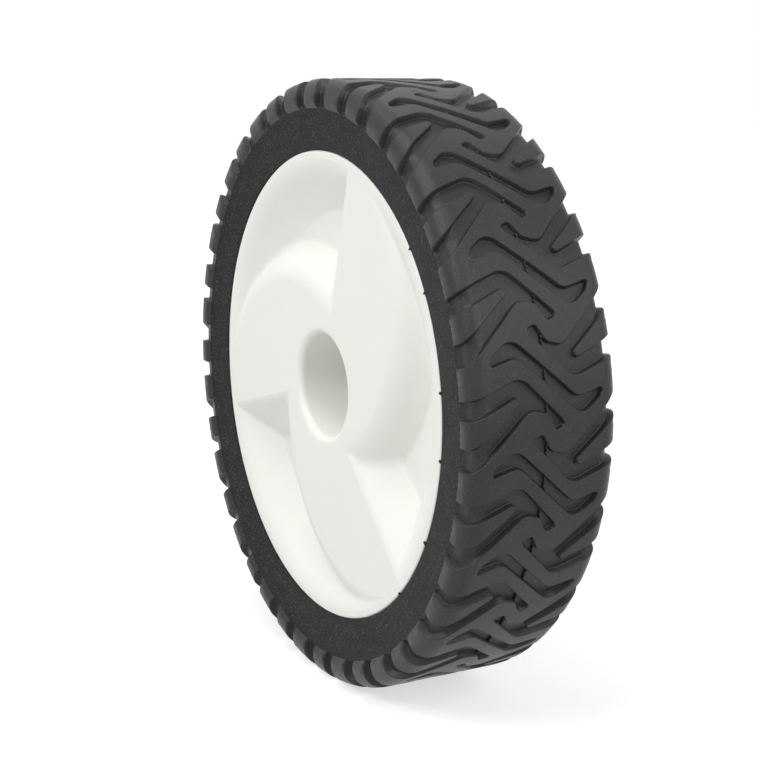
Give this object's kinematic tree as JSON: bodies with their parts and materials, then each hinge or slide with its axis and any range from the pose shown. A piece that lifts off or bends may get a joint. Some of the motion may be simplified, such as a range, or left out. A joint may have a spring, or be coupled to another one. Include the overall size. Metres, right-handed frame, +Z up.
{
  "type": "lawn mower wheel",
  "caption": "Moulded plastic lawn mower wheel with a plain axle bore, swirl pockets in its outer face and a black rubber tyre with a forked block tread.",
  "frame": {"origin": "centre of the wheel, on the axle's line, midway across the tyre's width", "axes": "+Y along the axle towards the machine, the outer face towards -Y; +Z up"},
  "size_m": [0.2032, 0.0508, 0.2032],
  "materials": {
    "rim": "cream-white moulded plastic, soft satin",
    "tyre": "black moulded rubber, matte"
  },
  "bodies": {
    "root": {"rim": "rim", "tyre": "tyre"}
  },
  "joints": []
}
